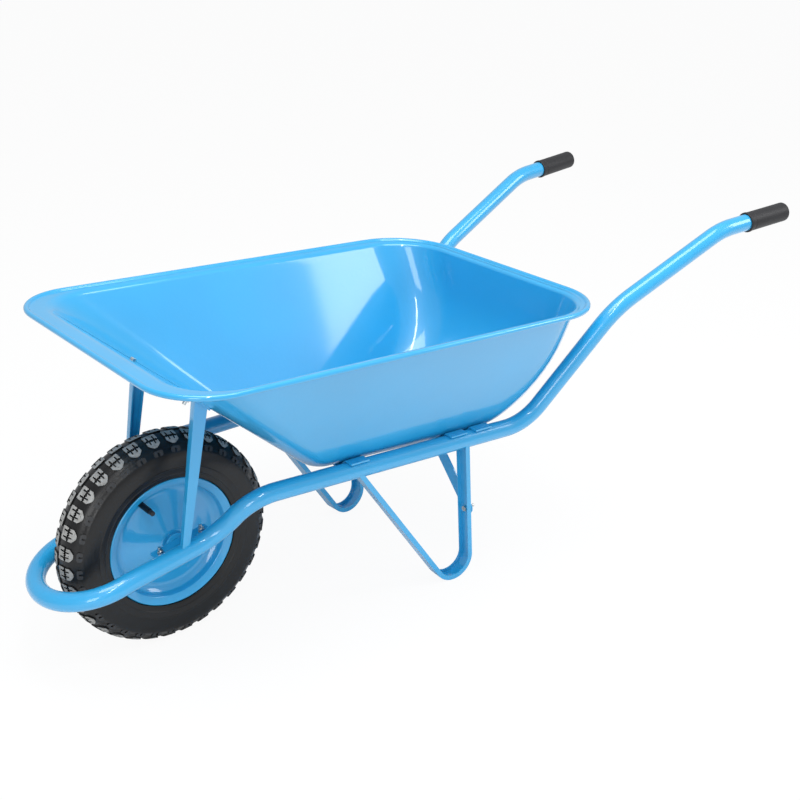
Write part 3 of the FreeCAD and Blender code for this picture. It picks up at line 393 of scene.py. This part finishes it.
def leftTubeLine():
    t = tube
    pitch = math.radians(t["nosePitch"])
    forward = Vector((math.cos(pitch), 0, -math.sin(pitch)))
    centre = Vector((axleX + t["noseStation"], 0, t["noseHeight"]))
    side = Vector((0, t["noseHalf"], 0))
    count = round(90 / t["arcStep"])
    line = [centre + forward * t["noseHalf"] * math.cos(a) + side * math.sin(a)
            for a in (math.pi / 2 * k / count for k in range(count + 1))]
    corners = [line[-1], line[-1] - forward * t["noseRun"]]
    corners += [Vector((axleX + x, y, z)) for x, y, z, radius in t["bends"]]
    corners.append(Vector((axleX + t["end"][0], *t["end"][1:])))
    radii = [t["noseBlend"]] + [bend[3] for bend in t["bends"]]
    for i, radius in enumerate(radii, start=1):
        line += bendArc(corners[i - 1], corners[i], corners[i + 1], radius)
    return line + [corners[-1]]


def sweptTube(bm, line, radius, sides):
    rows, normal = [], Vector((0, 0, 1))
    for i, point in enumerate(line):
        tangent = (line[min(i + 1, len(line) - 1)] - line[max(i - 1, 0)]).normalized()
        normal = (normal - tangent * normal.dot(tangent)).normalized()
        across = tangent.cross(normal)
        rows.append([bm.verts.new(point + radius * (normal * math.cos(a) + across * math.sin(a)))
                     for a in (2 * math.pi * k / sides for k in range(sides))])
    for low, high in zip(rows, rows[1:]):
        for k in range(sides):
            bm.faces.new((low[k - 1], low[k], high[k], high[k - 1]))
    bm.faces.new(rows[0])
    bm.faces.new(rows[-1])
    bmesh.ops.recalc_face_normals(bm, faces=bm.faces)


def buildFrameTube():
    left = leftTubeLine()
    right = [Vector((p.x, -p.y, p.z)) for p in reversed(left[1:])]
    bm = bmesh.new()
    sweptTube(bm, right + left, tube["radius"], tube["sides"])
    obj = placed("frameTubeSweep", bm, "frame", ["frame_tube"], [bluePaint])
    sharpenByAngle(obj, 60)


buildFrameTube()
print("frame tube made")

# ---- sheet and bar pieces: the CAD shape with its edges eased
easedPieces = {
    "leg_left": 0.0009, "leg_right": 0.0009, "front_strut_left": 0.0008, "front_strut_right": 0.0008,
    "leg_brace_left": 0.0008, "leg_brace_right": 0.0008, "cross_bar_front": 0.0008,
    "cross_bar_middle": 0.0008, "cross_bar_rear": 0.0008, "axle_bracket_left": 0.0007,
    "axle_bracket_right": 0.0007, "axle_clamp_left": 0.0007, "axle_clamp_right": 0.0007,
    "axle": 0.0006, "axle_spacer_left": 0.0004, "axle_spacer_right": 0.0004, "hub_tube": 0.0005}


def easedCopy(node, width, name, material, body="frame"):
    bm = bmesh.new()
    bm.from_mesh(frame["nodes"][node].data)
    bmesh.ops.remove_doubles(bm, verts=bm.verts, dist=2e-5)
    bmesh.ops.dissolve_limit(bm, angle_limit=math.radians(0.6), verts=bm.verts, edges=bm.edges)
    obj = placed(name, bm, body, [node], [material])
    ease = obj.modifiers.new("ease", "BEVEL")
    ease.width = width
    ease.segments = 2
    ease.limit_method = "ANGLE"
    ease.angle_limit = math.radians(28)
    ease.use_clamp_overlap = True
    sharpenByAngle(obj, 28)
    return obj


def camelName(node):
    words = node.split("_")
    return words[0] + "".join(word.capitalize() for word in words[1:])


nodeSlots = {part["node"]: part["material_slot"] for part in frame["record"]["subparts"]}
wheelNodes = set(frame["record"]["behaviour"]["bodies"]["wheel"])
for node, width in easedPieces.items():
    body = "wheel" if node in wheelNodes else "frame"
    easedCopy(node, width, camelName(node) + "Eased", slotFinish[nodeSlots[node]], body)
for node in sorted(nodeSlots):
    if node.endswith(("_nuts", "_bolts", "_washers")):
        easedCopy(node, 0.0004, camelName(node) + "Eased", zincPlate)
print("bars, sheets and fasteners eased")

# ---- wheel discs: pressed halves with a rolled lip and a dish up to the hub
disc = {"sheet": 0.0015, "steps": 128}
discLine = [(0.0201, 0.0382, 0), (0.026, 0.0350, 0.012), (0.068, 0.0166, 0.110), (0.0895, 0.0106, 0.014),
            (0.1005, 0.0200, 0.006), (0.1022, 0.0305, 0.003), (0.1142, 0.0362, 0.0018), (0.1164, 0.0350, 0)]


def buildDisc(side, name, node):
    bm = bmesh.new()
    line = roundedLine(discLine, 7)
    spunAboutAxle(bm, [(r, y * side) for r, y in line], disc["steps"])
    outward = sum((f.normal.y * f.calc_area() for f in bm.faces), 0.0)
    if outward * side < 0:
        bmesh.ops.reverse_faces(bm, faces=bm.faces)
    obj = placed(name, bm, "wheel", [node], [bluePaint])
    wall = obj.modifiers.new("sheet", "SOLIDIFY")
    wall.thickness = disc["sheet"]
    wall.offset = -1
    return obj


def buildHubCover(side, name):
    # a thin pressed cover over the bearing, inside the hub's end
    bm = bmesh.new()
    line = roundedLine([(0.0203, 0.0400, 0), (0.0203, 0.0446, 0.0012), (0.0135, 0.0470, 0.0030), (0.0108, 0.0478, 0)], 5)
    spunAboutAxle(bm, [(r, y * side) for r, y in line], 64)
    outward = sum((f.normal.y * f.calc_area() for f in bm.faces), 0.0)
    if outward * side < 0:
        bmesh.ops.reverse_faces(bm, faces=bm.faces)
    obj = placed(name, bm, "wheel", (), [bluePaint])
    wall = obj.modifiers.new("sheet", "SOLIDIFY")
    wall.thickness = 0.0006
    wall.offset = -1


buildHubCover(1, "hubCoverLeft")
buildHubCover(-1, "hubCoverRight")
buildDisc(1, "wheelDiscLeft", "wheel_disc_left")
buildDisc(-1, "wheelDiscRight", "wheel_disc_right")
print("discs made")

# ---- tyre: a spun casing with cut blocks on the crown and lugs on the shoulder
tyre = {"halfWidth": 0.042, "crown": 0.190, "bulge": 0.1464, "power": 0.85, "pitchCount": 34,
        "groove": 0.0027, "rows": 220}


def tyreSkin(share):
    # a point of the half section, from the crown (0) to the widest place (1)
    turn = math.pi / 2 * (1 - share)
    return Vector((tyre["bulge"] + (tyre["crown"] - tyre["bulge"]) * math.sin(turn) ** tyre["power"],
                   tyre["halfWidth"] * math.cos(turn) ** tyre["power"] if share > 0 else 0.0))


skinPoints = [tyreSkin(k / 240) for k in range(241)]
skinRun = [0.0]
for a, b in zip(skinPoints, skinPoints[1:]):
    skinRun.append(skinRun[-1] + (b - a).length)


def onSkin(run):
    # place and outward direction at a run along the section from the crown
    k = min(range(len(skinRun)), key=lambda i: abs(skinRun[i] - abs(run)))
    a, b = skinPoints[max(k - 1, 0)], skinPoints[min(k + 1, 240)]
    along = (b - a).normalized()
    place = skinPoints[k] + along * (abs(run) - skinRun[k])
    out = Vector((along.y, -along.x))
    if out.x < 0 and out.y < 0:
        out = -out
    side = 1 if run >= 0 else -1
    return Vector((place.x, place.y * side)), Vector((out.x, out.y * side))


def buildCasing():
    line = []
    for k in range(49):
        run = skinRun[-1] * (k / 48)
        place, out = onSkin(run)
        fade = min(max((run - 0.040) / 0.012, 0), 1)
        place = place - out * tyre["groove"] * (1 - fade * fade * (3 - 2 * fade))
        line.append(place)
    side = [(0.1464, 0.0420, 0), (0.139, 0.0418, 0.01), (0.1375, 0.0423, 0.0004), (0.1362, 0.0417, 0.0004),
            (0.128, 0.0398, 0.01), (0.1268, 0.0402, 0.0004), (0.1256, 0.0392, 0.0004),
            (0.1205, 0.0378, 0.003), (0.1172, 0.0366, 0.002), (0.1170, 0.0330, 0.001), (0.106, 0.0300, 0.001),
            (0.1045, 0.0240, 0)]
    line += roundedLine(side, 3)[1:]
    whole = [Vector((p.x, -p.y)) for p in reversed(line)] + line[1:]
    bm = bmesh.new()
    spunAboutAxle(bm, whole, tyre["rows"])
    return bm


combOutline = [(0.0, -0.0112), (0.0040, -0.0122), (0.0138, -0.0120), (0.0146, -0.0098), (0.0120, -0.0086),
               (0.0140, -0.0072), (0.0050, -0.0070), (0.0050, -0.0044), (0.0144, -0.0040), (0.0126, -0.0014),
               (0.0148, 0.0), (0.0126, 0.0014), (0.0144, 0.0040), (0.0050, 0.0044), (0.0050, 0.0070),
               (0.0140, 0.0072), (0.0120, 0.0086), (0.0146, 0.0098), (0.0138, 0.0120), (0.0040, 0.0122),
               (0.0, 0.0112)]
arrowOutline = [(0.0, -0.0112), (0.0078, -0.0118), (0.0118, -0.0078), (0.0150, -0.0034), (0.0154, 0.0),
                (0.0150, 0.0034), (0.0118, 0.0078), (0.0078, 0.0118), (0.0, 0.0112), (0.0018, 0.0084),
                (0.0, 0.0062), (0.0072, 0.0056), (0.0072, 0.0034), (0.0, 0.0030), (0.0022, 0.0),
                (0.0, -0.0030), (0.0072, -0.0034), (0.0072, -0.0056), (0.0, -0.0062), (0.0018, -0.0084)]
lugOutline = [(0.0, -0.0062), (0.0022, -0.0096), (0.0086, -0.0096), (0.0104, -0.0062), (0.0104, -0.0022),
              (0.0036, -0.0018), (0.0036, 0.0018), (0.0104, 0.0022), (0.0104, 0.0062), (0.0086, 0.0096),
              (0.0022, 0.0096), (0.0, 0.0062)]
ribOutline = [(0.0, -0.0072), (0.0018, -0.0072), (0.0018, 0.0072), (0.0, 0.0072)]
# each row: outline, run of its inner edge from the crown, height, shift in pitches, top material (1 worn grey, 2
# painted sheen)
treadRows = [(combOutline, 0.0030, 0.0027, 0.0, 1), (arrowOutline, 0.0195, 0.0027, 0.0, 1),
             (lugOutline, 0.0392, 0.0030, 0.0, 2), (ribOutline, 0.0515, 0.0016, 0.0, 2),
             (ribOutline, 0.0550, 0.0012, 0.0, 2)]


def blockTemplate(outline, height, wearAndSheenTop):
    bm = bmesh.new()
    base = bm.faces.new([bm.verts.new((u, v, -height)) for u, v in outline])
    middle = sum((Vector(p) for p in outline), Vector((0, 0))) / len(outline)
    grown = bmesh.ops.extrude_face_region(bm, geom=[base])["geom"]
    top = [item for item in grown if isinstance(item, bmesh.types.BMVert)]
    bmesh.ops.translate(bm, verts=top, vec=(0, 0, height))
    for vert in top:
        vert.co.x = middle.x + (vert.co.x - middle.x) * 0.96
        vert.co.y = middle.y + (vert.co.y - middle.y) * 0.96
    bmesh.ops.recalc_face_normals(bm, faces=bm.faces)
    # block tops take the row's top material: worn grey on the crown blocks, painted sheen on the lugs and ribs
    for face in bm.faces:
        face.material_index = wearAndSheenTop if face.normal.z > 0.9 else 0
    mesh = bpy.data.meshes.new("block")
    bm.to_mesh(mesh)
    bm.free()
    return mesh


def buildTread():
    bm = bmesh.new()
    random.seed(7)
    for outline, start, height, shift, wearAndSheenTop in treadRows:
        template = blockTemplate(outline, height + 0.0006, wearAndSheenTop)
        for side in (1, -1):
            for k in range(tyre["pitchCount"]):
                turn = 2 * math.pi * (k + shift + (0.5 if side < 0 else 0)) / tyre["pitchCount"]
                before = len(bm.verts)
                faceCount = len(bm.faces)
                bm.from_mesh(template)
                bm.verts.ensure_lookup_table()
                for vert in bm.verts[before:]:
                    place, out = onSkin((start + vert.co.x) * side)
                    place = place + out * (vert.co.z - 0.0002 if vert.co.z > -0.001 else vert.co.z)
                    angle = turn + vert.co.y / tyre["crown"]
                    vert.co = (axleX + place.x * math.cos(angle), place.y, axleZ + place.x * math.sin(angle))
                if side < 0:
                    bm.faces.ensure_lookup_table()
                    bmesh.ops.reverse_faces(bm, faces=bm.faces[faceCount:])
        bpy.data.meshes.remove(template)
    return bm


placed("tyreCasing", buildCasing(), "wheel", ["tyre"], [tyreRubber])
tread = placed("tyreTread", buildTread(), "wheel", (),
               [tyreRubber, scuffedRubber, lugRubber], smooth=False)
print("tyre made")

# ---- grips
gripLine = [(0.0161, 0.0, 0), (0.0192, 0.0, 0.0015), (0.0194, 0.0048, 0.0008), (0.0184, 0.0056, 0.0006),
            (0.0184, 0.0125, 0.0004), (0.0178, 0.0132, 0.0004), (0.0178, 0.0140, 0.0004), (0.0184, 0.0147, 0.0004),
            (0.0183, 0.0900, 0.002), (0.0184, 0.0960, 0.002), (0.0184, 0.1060, 0.005), (0.0, 0.1060, 0)]


def buildGrip(side, name, node):
    # the grip's own axis is the handle's last run
    start = Vector((axleX - 1.066, 0.277 * side, 0.597))
    end = Vector((axleX - 1.232, 0.291 * side, 0.608))
    along = (end - start).normalized()
    bm = bmesh.new()
    verts, edges = lineEdges(bm, [Vector((r, 0, z)) for r, z in roundedLine(gripLine, 5)])
    bmesh.ops.spin(bm, geom=verts + edges, cent=(0, 0, 0), axis=(0, 0, 1), angle=2 * math.pi,
                   steps=64, use_merge=True, use_duplicate=False)
    bmesh.ops.remove_doubles(bm, verts=bm.verts, dist=1e-6)
    bmesh.ops.recalc_face_normals(bm, faces=bm.faces)
    turn = along.to_track_quat("Z", "Y").to_matrix().to_4x4()
    place = Matrix.Translation(end - along * 0.101) @ turn
    bmesh.ops.transform(bm, verts=bm.verts, matrix=place)
    return placed(name, bm, "frame", [node], [gripRubber])


buildGrip(1, "gripLeft", "grip_left")
buildGrip(-1, "gripRight", "grip_right")
print("grips made")

# ---- floor, lights and camera
studio = {
    "floorSize": 60.0, "worldStrength": 0.62,
    "camera": (1.3385, 1.6922, 1.2413), "target": (-0.0114, 0.0, 0.300), "roll": 0.2, "lens": 56.107,
    # name: place, target, width, height, watts
    "lamps": {"keySoftbox": ((0.2, 0.5, 3.0), (0.0, 0.0, 0.3), 2.6, 1.2, 55),
              "stripLight": ((0.9, 1.5, 2.7), (0.0, 0.2, 0.3), 0.16, 2.2, 26),
              "sideSoftbox": ((2.6, 2.4, 1.2), (0.2, 0.0, 0.3), 0.9, 1.4, 22),
              "rearSoftbox": ((-2.0, 1.6, 1.8), (-0.2, -0.1, 0.4), 0.7, 1.1, 16)}}


def cameraOnly(tree, plain, seen):
    # seen is what the camera meets, plain is what lights the object and what reflections show
    path = tree.nodes.new("ShaderNodeLightPath")
    mix = tree.nodes.new("ShaderNodeMixShader")
    tree.links.new(path.outputs["Is Camera Ray"], mix.inputs[0])
    tree.links.new(plain.outputs[0], mix.inputs[1])
    tree.links.new(seen.outputs[0], mix.inputs[2])
    return mix


def buildFloor():
    bm = bmesh.new()
    bmesh.ops.create_grid(bm, x_segments=2, y_segments=2, size=studio["floorSize"] / 2)
    mesh = bpy.data.meshes.new("studioFloor")
    bm.to_mesh(mesh)
    bm.free()
    obj = bpy.data.objects.new("studioFloor", mesh)
    bpy.context.scene.collection.objects.link(obj)
    material = bpy.data.materials.new("paleFloor")
    material.use_nodes = True
    tree = material.node_tree
    diffuse = tree.nodes["Principled BSDF"]
    diffuse.inputs["Base Color"].default_value = (0.86, 0.86, 0.86, 1)
    diffuse.inputs["Roughness"].default_value = 0.9
    diffuse.inputs["Specular IOR Level"].default_value = 0.1
    glow = tree.nodes.new("ShaderNodeEmission")
    glow.inputs["Color"].default_value = (1, 1, 1, 1)
    blend = tree.nodes.new("ShaderNodeMixShader")
    blend.inputs[0].default_value = 0.93
    tree.links.new(diffuse.outputs[0], blend.inputs[1])
    tree.links.new(glow.outputs[0], blend.inputs[2])
    mix = cameraOnly(tree, diffuse, blend)
    tree.links.new(mix.outputs[0], tree.nodes["Material Output"].inputs["Surface"])
    mesh.materials.append(material)


def buildWorld():
    world = bpy.data.worlds.new("studio")
    world.use_nodes = True
    bpy.context.scene.world = world
    tree = world.node_tree
    fill = tree.nodes["Background"]
    fill.inputs["Color"].default_value = (0.95, 0.97, 1.0, 1)
    fill.inputs["Strength"].default_value = studio["worldStrength"]
    white = tree.nodes.new("ShaderNodeBackground")
    white.inputs["Color"].default_value = (1, 1, 1, 1)
    white.inputs["Strength"].default_value = 1.0
    mix = cameraOnly(tree, fill, white)
    tree.links.new(mix.outputs[0], tree.nodes["World Output"].inputs["Surface"])


def buildLamps():
    for name, (place, target, width, height, watts) in studio["lamps"].items():
        lamp = bpy.data.lights.new(name, "AREA")
        lamp.shape = "RECTANGLE"
        lamp.size, lamp.size_y, lamp.energy = width, height, watts
        obj = bpy.data.objects.new(name, lamp)
        obj.location = place
        aim = Vector(target) - Vector(place)
        obj.rotation_euler = aim.to_track_quat("-Z", "Y").to_euler()
        bpy.context.scene.collection.objects.link(obj)


def buildCamera():
    view = bpy.data.cameras.new("camera")
    view.lens, view.sensor_width = studio["lens"], 36.0
    view.clip_end = 200
    obj = bpy.data.objects.new("camera", view)
    bpy.context.scene.collection.objects.link(obj)
    place = Vector(studio["camera"])
    aim = (Vector(studio["target"]) - place).to_track_quat("-Z", "Y").to_matrix().to_4x4()
    obj.matrix_world = Matrix.Translation(place) @ aim @ Matrix.Rotation(math.radians(studio["roll"]), 4, "Z")
    bpy.context.scene.camera = obj


buildFloor()
buildWorld()
buildLamps()
buildCamera()
bpy.context.scene.view_settings.view_transform = "Standard"
print("studio ready")
